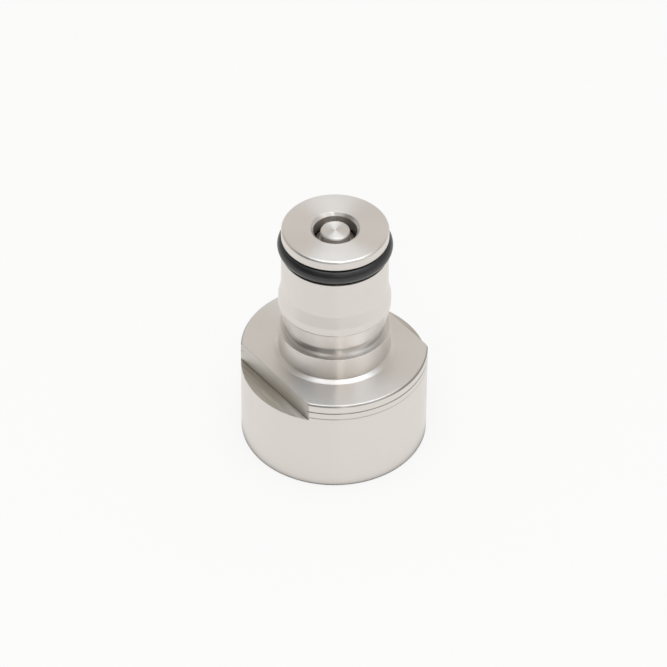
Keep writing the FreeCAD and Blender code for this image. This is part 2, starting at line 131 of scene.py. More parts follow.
# %% Carry a profile round the Z axis
def around(radius, height, angle):
    """Rings of points (radius cos a, radius sin a, height), with a the angle of each column."""
    radius, height, angle = np.broadcast_arrays(radius, height, angle)
    return np.stack([radius * np.cos(angle), radius * np.sin(angle), height], axis=-1)


def even_turn(columns):
    """Angles spread evenly over a full turn."""
    return 2 * np.pi * np.arange(columns) / columns


def turned(name, profile, columns, closed=False):
    """A turned piece from a profile of radius and height that starts and ends on the axis, or is closed."""
    if closed:
        return skin(name, around(profile[:, :1], profile[:, 1:], even_turn(columns)))
    inner = profile[1:-1]
    rings = around(inner[:, :1], inner[:, 1:], even_turn(columns))
    return skin(name, rings, ends=[(0, 0, profile[0, 1]), (0, 0, profile[-1, 1])])


# %% Round the corners of a profile
ARC_STEP = 0.09
LEAST_ARC_STEPS = 3
FINE_EDGE = 0.3
EDGE_MARGIN = 0.03


def rounded(corners):
    """A line through corners of radius, height and, where it is round, the corner's own radius.

    A round corner's points are centre + r (cos a, sin a), with a spread evenly between the two straight
    sides. A small one gets one more point on each side, which keeps the shading of those sides flat.
    """
    spots = np.array([corner[:2] for corner in corners], float)
    parts = []
    for index, corner in enumerate(corners):
        spot = spots[index]
        if len(corner) == 2:
            parts.append(spot[None])
            continue
        bend = corner[2]
        back = spots[index - 1] - spot
        ahead = spots[(index + 1) % len(spots)] - spot
        back, ahead = back / np.linalg.norm(back), ahead / np.linalg.norm(ahead)
        half = math.acos(np.clip(back @ ahead, -1, 1)) / 2
        reach = bend / math.tan(half)
        middle = (back + ahead) / np.linalg.norm(back + ahead)
        centre = spot + middle * bend / math.sin(half)
        start, end = spot + back * reach - centre, spot + ahead * reach - centre
        first = math.atan2(start[1], start[0])
        sweep = (math.atan2(end[1], end[0]) - first + math.pi) % (2 * math.pi) - math.pi
        steps = max(LEAST_ARC_STEPS, math.ceil(abs(sweep) * bend / ARC_STEP))
        angle = first + sweep * np.linspace(0, 1, steps + 1)
        arc = centre + bend * np.stack([np.cos(angle), np.sin(angle)], axis=-1)
        if bend < FINE_EDGE:
            before = spot + back * (reach + EDGE_MARGIN)
            beyond = spot + ahead * (reach + EDGE_MARGIN)
            arc = np.vstack([before, arc, beyond])
        parts.append(arc)
    return np.vstack(parts)


# %% [markdown]
# ## The post and its base
# On the real fitting this is one piece of bar, turned outside, bored through, threaded in the base and
# milled flat on two sides for a spanner. It could be a lathe form with boxes cut from it, but a boolean
# leaves ragged faces beside the flats. Here one closed profile runs up the outside and down the bore, and
# only three stretches of it change round the turn: the ledge, the wall above it and the thread.

# %% Columns that meet the edges of the flats
FLAT_HALF = 11.1
SIDE_COLUMNS = 70
FLAT_COLUMNS = 50

flat_start = math.asin(FLAT_HALF / BASE_RADIUS)
stretches = [
    (-flat_start, flat_start, SIDE_COLUMNS),
    (flat_start, math.pi - flat_start, FLAT_COLUMNS),
    (math.pi - flat_start, math.pi + flat_start, SIDE_COLUMNS),
    (math.pi + flat_start, 2 * math.pi - flat_start, FLAT_COLUMNS),
]
turn_angle = np.concatenate([
    np.linspace(low, high, count, endpoint=False) for low, high, count in stretches
])[None, :]
flat_reach = FLAT_HALF / np.maximum(np.abs(np.sin(turn_angle)), 1e-6)
outline = np.minimum(BASE_RADIUS, flat_reach)
print(f"each flat is {2 * BASE_RADIUS * math.cos(flat_start):.2f} mm wide")

# %% The base, from the mouth of the socket out and up to the ledge
FOOT_EDGE = 0.5
EDGE_BREAK = 0.04
MOUTH_RADIUS = 11.7555
LEDGE_HEIGHT = 12.9
LEDGE_RISE = 0.03
LEDGE_CORNER = 0.05


def band(radius, height):
    """Rows of radius and height as two arrays with one column for each step round."""
    radius, height = np.asarray(radius, float), np.asarray(height, float)
    shape = np.broadcast_shapes(radius.shape, height.shape, turn_angle.shape)
    return np.broadcast_to(radius, shape), np.broadcast_to(height, shape)


def plain_band(profile):
    return band(profile[:, :1], profile[:, 1:])


foot = plain_band(rounded([
    (MOUTH_RADIUS + 2 * EDGE_BREAK, 0),
    (BASE_RADIUS, 0, FOOT_EDGE),
    (BASE_RADIUS, LEDGE_HEIGHT - 2 * EDGE_BREAK),
]))
across = np.array([0, 0.02, 0.25, 0.5, 0.75, 0.97])[:, None]
drop = np.array([EDGE_BREAK, 0, 0, 0, 0, 0])[:, None]
ledge_in = np.minimum(BASE_RADIUS, outline + LEDGE_CORNER)
ledge = band(
    BASE_RADIUS + across * (ledge_in - BASE_RADIUS),
    LEDGE_HEIGHT + across * LEDGE_RISE - drop,
)
bend = np.linspace(0, np.pi / 2, 6)[:, None]
ledge_corner = band(
    np.minimum(BASE_RADIUS, outline + LEDGE_CORNER * (1 - np.sin(bend))),
    LEDGE_HEIGHT + LEDGE_RISE + LEDGE_CORNER * (1 - np.cos(bend)),
)
print(f"the ledge is {BASE_RADIUS - FLAT_HALF:.2f} mm deep at the middle of a flat")

# %% The wall above the ledge, with two turned lines, and the flange with its bevelled edge
FLANGE_HEIGHT = 16.05
FLANGE_EDGE = 0.27
FLANGE_CROWN = 0.06
FLAT_TOP_BREAK = 0.02
COLLAR_RADIUS = 8.45
ROOT_HEIGHT = 0.4
ROOT_WIDTH = 0.66
WALL_MIDDLE = 15.2
BEVEL_ROW = 0.35

# The height and the depth of each turned line
TURNED_LINES = [(13.45, 0.06), (14.55, 0.15)]
LINE_HALF = 0.1

line_rows = np.array([
    height + offset
    for height, _ in TURNED_LINES
    for offset in (-LINE_HALF - EDGE_MARGIN, -LINE_HALF, 0, LINE_HALF, LINE_HALF + EDGE_MARGIN)
])
wall_top = FLANGE_HEIGHT - FLANGE_CROWN - FLANGE_EDGE - EDGE_MARGIN
wall_rows = np.concatenate([line_rows, [WALL_MIDDLE, wall_top]])[:, None]
cut = sum(
    depth * np.maximum(0, 1 - np.abs(wall_rows - height) / LINE_HALF)
    for height, depth in TURNED_LINES
)
wall = band(np.minimum(BASE_RADIUS - cut, flat_reach), wall_rows)

root_edge = COLLAR_RADIUS + ROOT_WIDTH


def flange_top(radius):
    """The flange's height, which falls with the square of the way out from the collar's root."""
    return FLANGE_HEIGHT - FLANGE_CROWN * ((radius - root_edge) / (BASE_RADIUS - root_edge)) ** 2


edge = np.clip(outline - (BASE_RADIUS - FLANGE_EDGE), FLAT_TOP_BREAK, FLANGE_EDGE)

# A bevel of 45 degrees that ends in an arc: how far in and how far down, in shares of the edge's size
bend = np.linspace(np.pi / 4, np.pi / 2, 6)[:, None]
bevel_in = np.vstack([[[0], [BEVEL_ROW]], math.sqrt(2) - np.cos(bend)])
bevel_down = np.vstack([[[1], [1 - BEVEL_ROW]], 1 - np.sin(bend)])
flange_rim = outline - math.sqrt(2) * edge
flange_edge = band(outline - edge * bevel_in, flange_top(flange_rim) - edge * bevel_down)
inward = np.array([0.02, 0.15, 0.3, 0.45, 0.6, 0.8, 0.95])[:, None]
flange_across = flange_rim + inward * (root_edge - flange_rim)
flange = band(flange_across, flange_top(flange_across))
print(f"two lines are turned at {TURNED_LINES[0][0]} and {TURNED_LINES[1][0]} mm above the foot")

# %% The post, from the collar up to the top face
COLLAR_TOP = 20.3
NECK_RADIUS = 6.9
NECK_BEND = 1.45
HEAD_FOOT = 21.8
HEAD_FOOT_RADIUS = 7.7
HEAD_RADIUS = 8.38
LOCK_TAPER_TOP = 24.75
HEAD_LAND_TOP = 26.2
BARREL_FOOT = 28.1
BARREL_RADIUS = 7.96
RING_GROOVE_RADIUS = 5.95
RING_GROOVE_LOW = 34.26
RING_GROOVE_HIGH = 37.17
TOP_EDGE = 0.42
HEAD_LINE_DEPTH = 0.04
HEAD_LINE_HALF = 0.06
FINE_BEND = 0.06
ROOT_BEND = 0.3
HEAD_FOOT_BEND = 0.12
LOCK_TAPER_BEND = 0.1
HEAD_LAND_BEND = 0.25
BARREL_FOOT_BEND = 0.4
RING_GROOVE_BEND = 0.15

post_outside = [
    (root_edge, FLANGE_HEIGHT, ROOT_BEND),
    (COLLAR_RADIUS, FLANGE_HEIGHT + ROOT_HEIGHT, FINE_BEND),
    (COLLAR_RADIUS, COLLAR_TOP, EDGE_BREAK),
    (NECK_RADIUS, COLLAR_TOP, NECK_BEND),
    (NECK_RADIUS, HEAD_FOOT),
    (HEAD_FOOT_RADIUS, HEAD_FOOT, HEAD_FOOT_BEND),
    (HEAD_RADIUS, LOCK_TAPER_TOP, LOCK_TAPER_BEND),
    (HEAD_RADIUS, LOCK_TAPER_TOP + HEAD_LINE_HALF),
    (HEAD_RADIUS - HEAD_LINE_DEPTH, LOCK_TAPER_TOP + 2 * HEAD_LINE_HALF),
    (HEAD_RADIUS, LOCK_TAPER_TOP + 3 * HEAD_LINE_HALF),
    (HEAD_RADIUS, HEAD_LAND_TOP, HEAD_LAND_BEND),
    (BARREL_RADIUS, BARREL_FOOT, BARREL_FOOT_BEND),
    (BARREL_RADIUS, RING_GROOVE_LOW, FINE_BEND),
    (RING_GROOVE_RADIUS, RING_GROOVE_LOW, RING_GROOVE_BEND),
    (RING_GROOVE_RADIUS, RING_GROOVE_HIGH, RING_GROOVE_BEND),
    (BARREL_RADIUS, RING_GROOVE_HIGH, FINE_BEND),
    (BARREL_RADIUS, POST_TOP, TOP_EDGE),
]
print(f"head {2 * HEAD_RADIUS:.2f} mm across over a neck of {2 * NECK_RADIUS:.2f} mm")

# %% The bore, from the throat in the top face down to the thread
THROAT_RADIUS = 3.24
THROAT_CHAMFER = 0.42
SEAT_EDGE = 36.4
SEAT_FOOT = 34.74
CHAMBER_RADIUS = 4.9
GUIDE_SHOULDER = 14.5
GUIDE_BORE_RADIUS = 6.0
SNAP_GROOVE_RADIUS = 6.6
SNAP_GROOVE_LOW = 12.45
SNAP_GROOVE_HIGH = 13.35
SOCKET_FLOOR = 11.5
RELIEF_RADIUS = 11.6555
THREAD_HEIGHT = 9.6
THROAT_BEND = 0.1
SHOULDER_BEND = 0.08
SOCKET_BEND = 0.1
RELIEF_BEND = 0.15

post_inside = [
    (THROAT_RADIUS + THROAT_CHAMFER, POST_TOP, FINE_BEND),
    (THROAT_RADIUS, POST_TOP - THROAT_CHAMFER, THROAT_BEND),
    (THROAT_RADIUS, SEAT_EDGE, EDGE_BREAK),
    (CHAMBER_RADIUS, SEAT_FOOT, EDGE_BREAK),
    (CHAMBER_RADIUS, GUIDE_SHOULDER, SHOULDER_BEND),
    (GUIDE_BORE_RADIUS, GUIDE_SHOULDER, EDGE_BREAK),
    (GUIDE_BORE_RADIUS, SNAP_GROOVE_HIGH, EDGE_BREAK),
    (SNAP_GROOVE_RADIUS, SNAP_GROOVE_HIGH, EDGE_BREAK),
    (SNAP_GROOVE_RADIUS, SNAP_GROOVE_LOW, EDGE_BREAK),
    (GUIDE_BORE_RADIUS, SNAP_GROOVE_LOW, EDGE_BREAK),
    (GUIDE_BORE_RADIUS, SOCKET_FLOOR, SOCKET_BEND),
    (RELIEF_RADIUS, SOCKET_FLOOR, RELIEF_BEND),
    (RELIEF_RADIUS, THREAD_HEIGHT),
]
start = (root_edge + ROOT_WIDTH, FLANGE_HEIGHT)
post = plain_band(rounded([start, *post_outside, *post_inside])[1:])
print(f"throat {2 * THROAT_RADIUS:.2f} mm across, chamber {2 * CHAMBER_RADIUS:.2f} mm")

# %% [markdown]
# ### The thread
# The base takes a parallel pipe thread of 14 turns to the inch. It could be swept along a helix, which
# gives a second shell inside the first. Here the thread is in the same grid as the bore: the wall's
# radius goes up and down with the height less the rise of the helix at each column, so the turns climb
# as they go round, and the mouth's cone simply takes over where it is wider. The wave has straight
# flanks, and half of a smooth step is mixed in, which rounds its crests and roots.

# %% The thread as a wave that climbs
THREAD_PITCH = 1.8143
THREAD_DEPTH_SHARE = 0.640327
MOUTH_OVER_ROOT = 0.3
THREAD_ROWS = 97
FLANK_SHARE = 0.75

thread_depth = THREAD_DEPTH_SHARE * THREAD_PITCH
thread_root = MOUTH_RADIUS - MOUTH_OVER_ROOT
thread_height = np.linspace(THREAD_HEIGHT, 0, THREAD_ROWS)[:, None]
phase = thread_height / THREAD_PITCH - turn_angle / (2 * np.pi)
wave = np.abs(2 * (phase % 1) - 1)
flank = np.clip(0.5 + (wave - 0.5) / FLANK_SHARE, 0, 1)
form = 0.5 * flank + 0.5 * flank**2 * (3 - 2 * flank)
cone = MOUTH_RADIUS - thread_height
thread = band(np.maximum(thread_root - thread_depth * (1 - form), cone), thread_height)
print(f"thread crests at {thread_root - thread_depth:.2f} mm radius, roots at {thread_root:.2f} mm")

# %% Join the bands into one closed piece
bands = [foot, ledge, ledge_corner, wall, flange_edge, flange, post, thread]
body_radius = np.vstack([rows for rows, _ in bands])
body_height = np.vstack([rows for _, rows in bands])
post_body = skin("turned_post_body", around(body_radius, body_height, turn_angle))

# %% [markdown]
# ## The ring seal
# A moulded ring of black rubber lies in the groove under the top face, and a socket slides over it. It is
# a torus, and the mould leaves a fine raised line round its inside and outside, which a plain torus lacks.
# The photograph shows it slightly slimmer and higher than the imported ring, so it is thinned and raised.

# %% The ring seal
RING_COLUMNS = 192
RING_ROWS = 56
RING_SLIMMER = 0.1
RING_RAISED = 0.09
FLASH_HEIGHT = 0.012
FLASH_WIDTH = 0.09

ring_section = (RING_HIGH[2] - RING_LOW[2]) / 2 - RING_SLIMMER
ring_centre = RING_HIGH[0] - ring_section - RING_SLIMMER / 2
ring_middle = (RING_HIGH[2] + RING_LOW[2]) / 2 + RING_RAISED
section_angle = even_turn(RING_ROWS)[:, None]
flash = FLASH_HEIGHT * np.exp(-((np.sin(section_angle) / FLASH_WIDTH) ** 2))
section = ring_section - FLASH_HEIGHT + flash
ring_seal = skin("ring_seal", around(
    ring_centre + section * np.cos(section_angle),
    ring_middle + section * np.sin(section_angle),
    even_turn(RING_COLUMNS),
))

# %% [markdown]
# ## The poppet
# The pin that shows in the throat is the top of a long stem. A collar under the pin holds a moulded rubber
# cone down on a washer, and the stem's lower end carries a clip. Stem, cone and washer are turned or
# moulded round, so each is a profile. The tip keeps the small dimple of the lathe's centre.

# %% The stem with its pin
STEM_COLUMNS = 96
ROD_RADIUS = 1.25
CLIP_GROOVE_RADIUS = 0.9
CLIP_GROOVE_LOW = 12.62
CLIP_GROOVE_HIGH = 13.08
ROD_STEP = 32.0
SEAL_LAND_RADIUS = 1.6
COLLAR_HEIGHT = 0.65
PIN_RADIUS = 2.2
PIN_EDGE = 0.36
CENTRE_MARK_RADIUS = 0.22
CENTRE_MARK_DEPTH = 0.12
CENTRE_MARK_BEND = 0.03
ROD_POINT = 0.2
CLIP_GROOVE_BEND = 0.02
PIN_COLLAR_BEND = 0.1

collar_low = SEAL_HIGH[2]
collar_high = collar_low + COLLAR_HEIGHT
stem = turned("poppet_stem_turned", rounded([
    (0, STEM_LOW[2]),
    (ROD_RADIUS - ROD_POINT, STEM_LOW[2], EDGE_BREAK),
    (ROD_RADIUS, STEM_LOW[2] + ROD_POINT, EDGE_BREAK),
    (ROD_RADIUS, CLIP_GROOVE_LOW, CLIP_GROOVE_BEND),
    (CLIP_GROOVE_RADIUS, CLIP_GROOVE_LOW, EDGE_BREAK),
    (CLIP_GROOVE_RADIUS, CLIP_GROOVE_HIGH, EDGE_BREAK),
    (ROD_RADIUS, CLIP_GROOVE_HIGH, CLIP_GROOVE_BEND),
    (ROD_RADIUS, ROD_STEP, EDGE_BREAK),
    (SEAL_LAND_RADIUS, ROD_STEP, EDGE_BREAK),
    (SEAL_LAND_RADIUS, collar_low, EDGE_BREAK),
    (STEM_HIGH[0], collar_low, EDGE_BREAK),
    (STEM_HIGH[0], collar_high, PIN_COLLAR_BEND),
    (PIN_RADIUS, collar_high, PIN_COLLAR_BEND),
    (PIN_RADIUS, STEM_HIGH[2], PIN_EDGE),
    (CENTRE_MARK_RADIUS, STEM_HIGH[2], CENTRE_MARK_BEND),
    (0, STEM_HIGH[2] - CENTRE_MARK_DEPTH),
]), STEM_COLUMNS)

# %% The rubber cone and the washer under it
SEAL_COLUMNS = 128
SEAL_NOSE_RADIUS = 3.5
SEAT_SLOPE = (SEAT_EDGE - SEAT_FOOT) / (CHAMBER_RADIUS - THROAT_RADIUS)
SEAL_SOFT_EDGE = 0.15
WASHER_HOLE_RADIUS = 1.65
WASHER_BEND = 0.1

seal_radius = SEAL_HIGH[0]
shoulder = SEAL_HIGH[2] - (seal_radius - SEAL_NOSE_RADIUS) * SEAT_SLOPE
cone_seal = turned("poppet_seal_moulded", rounded([
    (SEAL_LAND_RADIUS, SEAL_LOW[2]),
    (seal_radius, SEAL_LOW[2], SEAL_SOFT_EDGE),
    (seal_radius, shoulder, SEAL_SOFT_EDGE),
    (SEAL_NOSE_RADIUS, SEAL_HIGH[2], SEAL_SOFT_EDGE),
    (SEAL_LAND_RADIUS, SEAL_HIGH[2]),
]), SEAL_COLUMNS, closed=True)

washer = turned("seal_washer_pressed", rounded([
    (WASHER_HOLE_RADIUS, WASHER_LOW[2], EDGE_BREAK),
    (WASHER_HIGH[0], WASHER_LOW[2], WASHER_BEND),
    (WASHER_HIGH[0], WASHER_HIGH[2], EDGE_BREAK),
    (WASHER_HOLE_RADIUS, WASHER_HIGH[2], EDGE_BREAK),
]), SEAL_COLUMNS, closed=True)

# %% [markdown]
# ## The spring
# It is coiled from round wire, with its end turns closed up and ground flat so that it stands straight.
# A screw modifier gives even turns only. Here the centre line climbs slowly over the first and last turn
# and fast between them, and the points that would pass the ground ends are laid on them.

# %% The spring
SPRING_WIRE = 0.35
SPRING_OPEN_TURNS = 8
SPRING_END_RISE = 0.72
SPRING_GRIND = 0.2
STEPS_EACH_TURN = 72
WIRE_COLUMNS = 20

coil_radius = SPRING_HIGH[0] - SPRING_WIRE
coil_low = SPRING_LOW[2] + SPRING_WIRE - SPRING_GRIND
coil_high = SPRING_HIGH[2] - SPRING_WIRE + SPRING_GRIND
turns = SPRING_OPEN_TURNS + 2
at_turn = np.linspace(0, turns, turns * STEPS_EACH_TURN + 1)
climb = np.interp(
    at_turn,
    [0, 1, turns - 1, turns],
    [coil_low, coil_low + SPRING_END_RISE, coil_high - SPRING_END_RISE, coil_high],
)
coil_angle = 2 * np.pi * at_turn
outward = np.stack([np.cos(coil_angle), np.sin(coil_angle), np.zeros_like(coil_angle)], axis=-1)
centre_line = coil_radius * outward + climb[:, None] * np.array([0, 0, 1])
along = np.gradient(centre_line, axis=0)
along /= np.linalg.norm(along, axis=1, keepdims=True)
sideways = np.cross(along, outward)
wire_angle = even_turn(WIRE_COLUMNS)[None, :, None]
wire = SPRING_WIRE * (np.cos(wire_angle) * outward[:, None] + np.sin(wire_angle) * sideways[:, None])
coil = centre_line[:, None] + wire
coil[..., 2] = np.clip(coil[..., 2], SPRING_LOW[2], SPRING_HIGH[2])
spring = skin("poppet_spring_coil", coil, ends=centre_line[[0, -1]])

# %% [markdown]
# ## The gasket
# A flat rubber ring lies on the floor of the socket, and a male thread is screwed up against it. Its
# edges are slightly rounded, as a moulded ring's are.

# %% The gasket
GASKET_HOLE_RADIUS = 6.3
GASKET_BEND = 0.2
GASKET_COLUMNS = 160

gasket = turned("thread_gasket_moulded", rounded([
    (GASKET_HOLE_RADIUS, GASKET_LOW[2], GASKET_BEND),
    (GASKET_HIGH[0], GASKET_LOW[2], GASKET_BEND),
    (GASKET_HIGH[0], GASKET_HIGH[2], GASKET_BEND),
    (GASKET_HOLE_RADIUS, GASKET_HIGH[2], GASKET_BEND),
]), GASKET_COLUMNS, closed=True)

# %% [markdown]
# ## Say which body each piece rides on
# The post and what is fixed in it stay still. The stem, its cone and its washer ride on one body, the one
# that goes down when a socket presses the pin. The spring rides on the post and gets a mesh of its own.
# Each new piece stands for the imported piece of the same shape, and names the finish that it takes.

dressed = [
    (post_body, "post", "post_body", "stainless_steel"),
    (ring_seal, "post", "post_o_ring", "seal_rubber"),
    (gasket, "post", "thread_gasket", "gasket_rubber"),
    (spring, "post", "poppet_spring", "spring_steel"),
    (stem, "poppet", "poppet_stem", "pin_steel"),
    (cone_seal, "poppet", "poppet_seal", "poppet_rubber"),
    (washer, "poppet", "seal_washer", "spring_steel"),
]
for piece, body, node, slot in dressed:
    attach(piece, body)
    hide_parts(node)

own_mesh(spring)

# %% [markdown]
# ## Finishes as Python expressions
# A finish is a few dozen nodes. Wired by hand they are hard to read, so one small class stands for a
# socket, and Python's operators on it add the Math nodes. Every other node comes from one method.

# %% A socket that can be added, multiplied and compared
class Wire:
    """An output of a node. Operators on it add Math nodes to the same finish."""

    def __init__(self, finish, socket):
        self.finish = finish
        self.socket = socket

    def maths(self, operation, *values):
        return self.finish.node("Math", {"operation": operation}, dict(enumerate(values)))

    def __add__(self, other):
        return self.maths("ADD", self, other)

    def __sub__(self, other):
        return self.maths("SUBTRACT", self, other)

    def __rsub__(self, other):
        return self.maths("SUBTRACT", other, self)

    def __mul__(self, other):
        return self.maths("MULTIPLY", self, other)

    def __pow__(self, other):
        return self.maths("POWER", self, other)

    def __gt__(self, other):
        return self.maths("GREATER_THAN", self, other)

    def __lt__(self, other):
        return self.maths("LESS_THAN", self, other)

    def __abs__(self):
        return self.maths("ABSOLUTE", self)

    __radd__ = __add__
    __rmul__ = __mul__


# %% A finish, and the pattern coordinates that most of them use
class Finish:
    """The node tree of one material, of the world or of a lamp."""

    def __init__(self, owner):
        owner.use_nodes = True
        self.owner = owner
        self.tree = owner.node_tree
        self.tree.nodes.clear()

    def node(self, kind, settings=None, inputs=None, output=0):
        """Adds a node, makes its settings, fills or links its inputs, and gives the output asked for."""
        made = self.tree.nodes.new(f"ShaderNode{kind}")
        for name, value in (settings or {}).items():
            setattr(made, name, value)
        for name, value in (inputs or {}).items():
            if isinstance(value, Wire):
                self.tree.links.new(value.socket, made.inputs[name])
            else:
                made.inputs[name].default_value = value
        if isinstance(output, tuple):
            return [Wire(self, made.outputs[name]) for name in output]
        return Wire(self, made.outputs[output])

    def mix(self, share, low, high):
        """One colour turning into another."""
        return self.node("Mix", {"data_type": "RGBA"}, {0: share, 6: low, 7: high}, 2)

    def tinted(self, level, tint):
        """A tint, or a colour that varies, scaled by a level."""
        return self.node("VectorMath", {"operation": "SCALE"}, {0: tint, "Scale": level})

    def both(self, first, second):
        """Two colours of light added."""
        return self.node("VectorMath", {"operation": "ADD"}, {0: first, 1: second})

    def place(self):
        """The point's x, y and z on the object, in millimetres."""
        metres = self.node("TexCoord", output="Object")
        scaled = self.node("VectorMath", {"operation": "SCALE"}, {0: metres, "Scale": 1 / MM})
        return self.node("SeparateXYZ", inputs={0: scaled}, output=("X", "Y", "Z"))

    def noise(self, x, y, z, detail=2.0, roughness=0.5):
        """Smooth noise from 0 to 1, with features about 1 unit across."""
        spot = self.node("CombineXYZ", inputs={0: x, 1: y, 2: z})
        return self.node(
            "TexNoise",
            inputs={"Vector": spot, "Scale": 1.0, "Detail": detail, "Roughness": roughness},
        )

    def smooth(self, value, low, high):
        """Goes from 0 at low to 1 at high, with soft ends."""
        settings = {"interpolation_type": "SMOOTHSTEP"}
        return self.node("MapRange", settings, {0: value, 1: low, 2: high})

    def bump(self, height, microns, strength=1.0):
        """A normal that follows a height from 0 to 1, which stands for so many microns."""
        inputs = {"Height": height, "Strength": strength, "Distance": microns * 1e-6}
        return self.node("Bump", inputs=inputs, output="Normal")

    def surface(self, **inputs):
        """Ends the finish in a Principled shader. An underscore in a name stands for a space."""
        named = {name.replace("_", " "): value for name, value in inputs.items()}
        return self.end("OutputMaterial", self.node("BsdfPrincipled", inputs=named, output="BSDF"))

    def end(self, kind, shader):
        """Feeds a shader to the output of the material or the world, and gives its owner."""
        self.node(kind, inputs={"Surface": shader}, output=())
        return self.owner


def new_finish(name):
    return Finish(bpy.data.materials.new(name))


def colour(red, green, blue):
    return (red, green, blue, 1.0)


# %% [markdown]
# ## Turned stainless steel
# Fine turning leaves grooves round the axis on every face. They are too small to see one by one, but they
# spread each highlight across them, which is why a turned disc shows two bright fans. The Principled
# shader's anisotropy does this, turned a quarter so that the spread is across the grooves. A few grooves
# are deeper, and noise stretched round the axis gives those, as bump and as a change of roughness.
# The turned lines in the base's wall are too narrow to show their own shade, so painted shade darkens
# them, and a painted dark line of shade runs round the flange's bevelled edge. The neck, under the head,
# is painted darker as shade, with the marks of the tool that formed it. The flats have a cutter's straight
# streaks, their milled steel is painted darker, partly as the shade of the recess they form, and the
# corner of wall and ledge gets deeper painted shade.

# %% The steel of the post, with milled flats
STEEL_LIGHT = colour(0.825, 0.783, 0.742)
STEEL_DARK = colour(0.76, 0.716, 0.67)
# Milled steel, painted darker in part as the shade of the recess that the flats form, the ledge more than
# the wall
MILLED_WALL_SHADED = colour(0.62, 0.59, 0.54)
MILLED_LEDGE_SHADED = colour(0.58, 0.535, 0.465)
MILLED_CORNER_SHADE = colour(0.16, 0.14, 0.115)
# The colour of painted shade on the post's steel
PAINTED_SHADE_STEEL = colour(0.3, 0.285, 0.26)
ACROSS_THE_GROOVES = 0.25
MILLED_MARGIN = 0.05
LEDGE_MARGIN = 0.02
LEDGE_REACH = 0.06
NECK_SHADE = 0.22
CUT_MARK_DULLING = 0.3

# The height of each painted line of shade, how far it reaches to each side and how dark it is
PAINTED_SHADE_LINES = [(15.84, 0.12, 0.75), (14.55, 0.13, 0.85), (13.45, 0.11, 0.3)]


def turned_steel():
    finish = new_finish("turned_stainless")
    x, y, z = finish.place()
    from_axis = (x * x + y * y) ** 0.5
    grooves = finish.noise(from_axis * 5.0, z * 5.0, x * 0.12, detail=3.0, roughness=0.65)
    clouds = finish.noise(x * 0.22, y * 0.22, z * 0.3, detail=2.0)
    streaks = finish.noise(x * 0.15, abs(y) * 3.0, z * 7.0, detail=3.0, roughness=0.6)
    beside_flat = abs(y) - FLAT_HALF
    above_ledge = z - LEDGE_HEIGHT
    milled = (beside_flat > -MILLED_MARGIN) * (above_ledge > -LEDGE_MARGIN)
    ledge = milled * (above_ledge < LEDGE_REACH)
    # Painted shade in the corner where a flat's wall meets its ledge
    corner = (1 - finish.smooth(beside_flat, 0.03, 0.25)) * (1 - finish.smooth(above_ledge, 0.05, 0.35))
    # Painted shade: dark lines in the turned lines and along the flange's bevelled edge
    lines = sum(
        share * (1 - finish.smooth(abs(z - height), 0.6 * reach, reach))
        for height, reach, share in PAINTED_SHADE_LINES
    )
    line_shade = lines * (from_axis > BASE_RADIUS - 0.4) * (1 - milled)
    flange_face = (z > FLANGE_HEIGHT - 0.1) * (z < FLANGE_HEIGHT + 0.1)
    neck = (z > COLLAR_TOP + 0.02) * (z < HEAD_FOOT + 0.02) * (from_axis < COLLAR_RADIUS - 0.1)
    cut_marks = finish.smooth(finish.noise(z * 6.0, x * 0.1, y * 0.1), 0.4, 0.65)
    # Painted shade: the neck under the head is coloured darker, and its cut marks darken it further
    neck_shade_and_marks = neck * (NECK_SHADE + cut_marks * CUT_MARK_DULLING)
    clean = finish.mix(clouds * 0.7 + grooves * 0.3, STEEL_DARK, STEEL_LIGHT)
    lined = finish.mix(line_shade, clean, PAINTED_SHADE_STEEL)
    turned_tone = finish.mix(neck_shade_and_marks, lined, PAINTED_SHADE_STEEL)
    shaded_milled_tone = finish.mix(ledge, MILLED_WALL_SHADED, MILLED_LEDGE_SHADED)
    streaked = finish.mix(finish.smooth(streaks, 0.45, 0.7) * 0.5, shaded_milled_tone, STEEL_LIGHT)
    flat_tone = finish.mix(corner * 0.5, streaked, MILLED_CORNER_SHADE)
    height = grooves * (1 - milled) + streaks * milled * 2.0
    return finish.surface(
        Base_Color=finish.mix(milled, turned_tone, flat_tone),
        Metallic=1.0,
        Roughness=0.26 + grooves * 0.06 + clouds * 0.04 + milled * 0.04 + flange_face * 0.04,
        Anisotropic=0.88,
        Anisotropic_Rotation=ACROSS_THE_GROOVES,
        Normal=finish.bump(height, microns=0.4),
    )


stainless = turned_steel()
print("made", stainless.name)


# %% The steel of the pin, the washer, the guide and its ring
# The colour of the painted shade on the poppet's collar, deep in the throat
COLLAR_SHADE_STEEL = colour(0.2, 0.18, 0.16)
PRESSED_LIGHT = colour(0.6, 0.58, 0.55)
PRESSED_DARK = colour(0.45, 0.43, 0.41)
PIN_SHADE_BELOW = 37.2
PIN_CLEARANCE = 0.12


